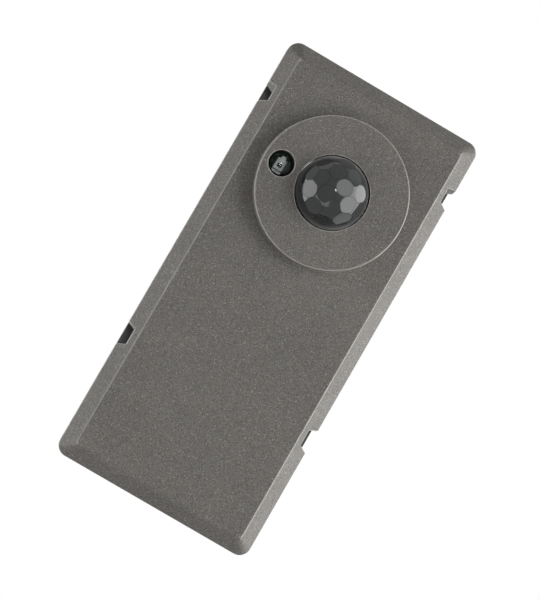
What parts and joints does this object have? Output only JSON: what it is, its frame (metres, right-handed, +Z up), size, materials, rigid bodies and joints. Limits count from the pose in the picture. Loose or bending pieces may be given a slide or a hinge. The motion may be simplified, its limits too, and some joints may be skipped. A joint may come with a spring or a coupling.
{
  "type": "touch dimmer",
  "caption": "Narrow wall insert that dims by touch, with bevelled front cover, raised disc, faceted presence sensor dome, light sensor window and rear screw terminals.",
  "frame": {"origin": "centre of the seat: the plane of the ledge's rear face, where the module rests on its mounting frame", "axes": "+X to the right seen from the front, +Z up along the cover towards the sensor end, +Y back into the wall"},
  "size_m": [0.0224, 0.0426, 0.049],
  "materials": {
    "cover_graphite": "moulded, satin, with a fine metallic fleck",
    "dome_smoke": "smoky dark lens plastic, glossy facets",
    "clear_resin": "clear resin",
    "tinned_metal": "tin plated",
    "sensor_chip": "polished silicon",
    "black_plastic": "moulded, fine texture",
    "can_metal": "plated sheet",
    "filter_window": "coated silicon",
    "touch_steel": "stamped sheet",
    "board_green": "lacquered circuit board",
    "chip_black": "moulded package",
    "trimmer_body": "moulded, satin",
    "trimmer_dial": "moulded, smooth",
    "button_white": "moulded, smooth",
    "housing_grey": "moulded, fine spark texture",
    "film_yellow": "moulded box",
    "ferrite": "sintered ferrite",
    "enamelled_copper": "enamelled copper wire",
    "capacitor_sleeve": "shrunk sleeve",
    "varistor_blue": "dipped coating",
    "spreader_aluminium": "rolled sheet",
    "terminal_grey": "moulded, satin",
    "clamp_steel": "zinc plated",
    "screw_steel": "zinc plated"
  },
  "bodies": {
    "base": {"lens_dome": "dome_smoke", "light_sensor_resin": "clear_resin", "light_sensor_leadframe": "tinned_metal", "light_sensor_die": "sensor_chip", "light_sensor_sleeve": "black_plastic", "front_carrier": "black_plastic", "pyro_sensor_can": "can_metal", "pyro_sensor_window": "filter_window", "touch_electrode": "touch_steel", "front_board": "board_green", "touch_controller": "chip_black", "microcontroller": "chip_black", "time_trimmer_body": "trimmer_body", "lux_trimmer_body": "trimmer_body", "learn_switch_body": "chip_black", "header_body": "black_plastic", "header_pins": "tinned_metal", "rear_housing": "housing_grey", "power_board": "board_green", "film_capacitor": "film_yellow", "choke_core": "ferrite", "choke_winding": "enamelled_copper", "electrolytic_capacitor": "capacitor_sleeve", "varistor": "varistor_blue", "fuse": "chip_black", "bridge_rectifier": "chip_black", "power_transistors": "chip_black", "heat_spreader": "spreader_aluminium", "terminal_block": "terminal_grey", "contact_bars": "tinned_metal"},
    "cover": {"front_cover": "cover_graphite"},
    "time_dial": {"time_trimmer_dial": "trimmer_dial"},
    "lux_dial": {"lux_trimmer_dial": "trimmer_dial"},
    "learn_key": {"learn_button": "button_white"},
    "screw_1": {"clamp_screw_1": "screw_steel"},
    "clamp_1": {"cage_clamp_1": "clamp_steel"},
    "screw_2": {"clamp_screw_2": "screw_steel"},
    "clamp_2": {"cage_clamp_2": "clamp_steel"},
    "screw_3": {"clamp_screw_3": "screw_steel"},
    "clamp_3": {"cage_clamp_3": "clamp_steel"},
    "screw_4": {"clamp_screw_4": "screw_steel"},
    "clamp_4": {"cage_clamp_4": "clamp_steel"}
  },
  "joints": [
    {"name": "cover_pull", "type": "slide", "parent": "base", "child": "cover", "axis": [0, -1, 0], "range_m": [0, 0.013]},
    {"name": "time_turn", "type": "hinge", "parent": "base", "child": "time_dial", "pos_m": [-0.00445, -0.004, 0.0005], "axis": [0, -1, 0], "range_deg": [-135, 135]},
    {"name": "lux_turn", "type": "hinge", "parent": "base", "child": "lux_dial", "pos_m": [0.00445, -0.004, 0.0005], "axis": [0, -1, 0], "range_deg": [-135, 135]},
    {"name": "learn_press", "type": "slide", "parent": "base", "child": "learn_key", "axis": [0, 1, 0], "range_m": [0, 0.00025], "stiffness_N_per_m": 1000},
    {"name": "screw_turn_1", "type": "hinge", "parent": "base", "child": "screw_1", "pos_m": [-0.0075, 0.0256, -0.0216], "axis": [0, 0, 1], "range_deg": [0, 1440]},
    {"name": "clamp_close_1", "type": "slide", "parent": "base", "child": "clamp_1", "axis": [0, 0, -1], "range_m": [0, 0.0018]},
    {"name": "screw_turn_2", "type": "hinge", "parent": "base", "child": "screw_2", "pos_m": [-0.0025, 0.0256, -0.0216], "axis": [0, 0, 1], "range_deg": [0, 1440]},
    {"name": "clamp_close_2", "type": "slide", "parent": "base", "child": "clamp_2", "axis": [0, 0, -1], "range_m": [0, 0.0018]},
    {"name": "screw_turn_3", "type": "hinge", "parent": "base", "child": "screw_3", "pos_m": [0.0025, 0.0256, -0.0216], "axis": [0, 0, 1], "range_deg": [0, 1440]},
    {"name": "clamp_close_3", "type": "slide", "parent": "base", "child": "clamp_3", "axis": [0, 0, -1], "range_m": [0, 0.0018]},
    {"name": "screw_turn_4", "type": "hinge", "parent": "base", "child": "screw_4", "pos_m": [0.0075, 0.0256, -0.0216], "axis": [0, 0, 1], "range_deg": [0, 1440]},
    {"name": "clamp_close_4", "type": "slide", "parent": "base", "child": "clamp_4", "axis": [0, 0, -1], "range_m": [0, 0.0018]}
  ],
  "couplings": [
    {"joint": "screw_turn_1", "follows": "clamp_close_1", "rad_per_m": 13961},
    {"joint": "screw_turn_2", "follows": "clamp_close_2", "rad_per_m": 13961},
    {"joint": "screw_turn_3", "follows": "clamp_close_3", "rad_per_m": 13961},
    {"joint": "screw_turn_4", "follows": "clamp_close_4", "rad_per_m": 13961}
  ]
}
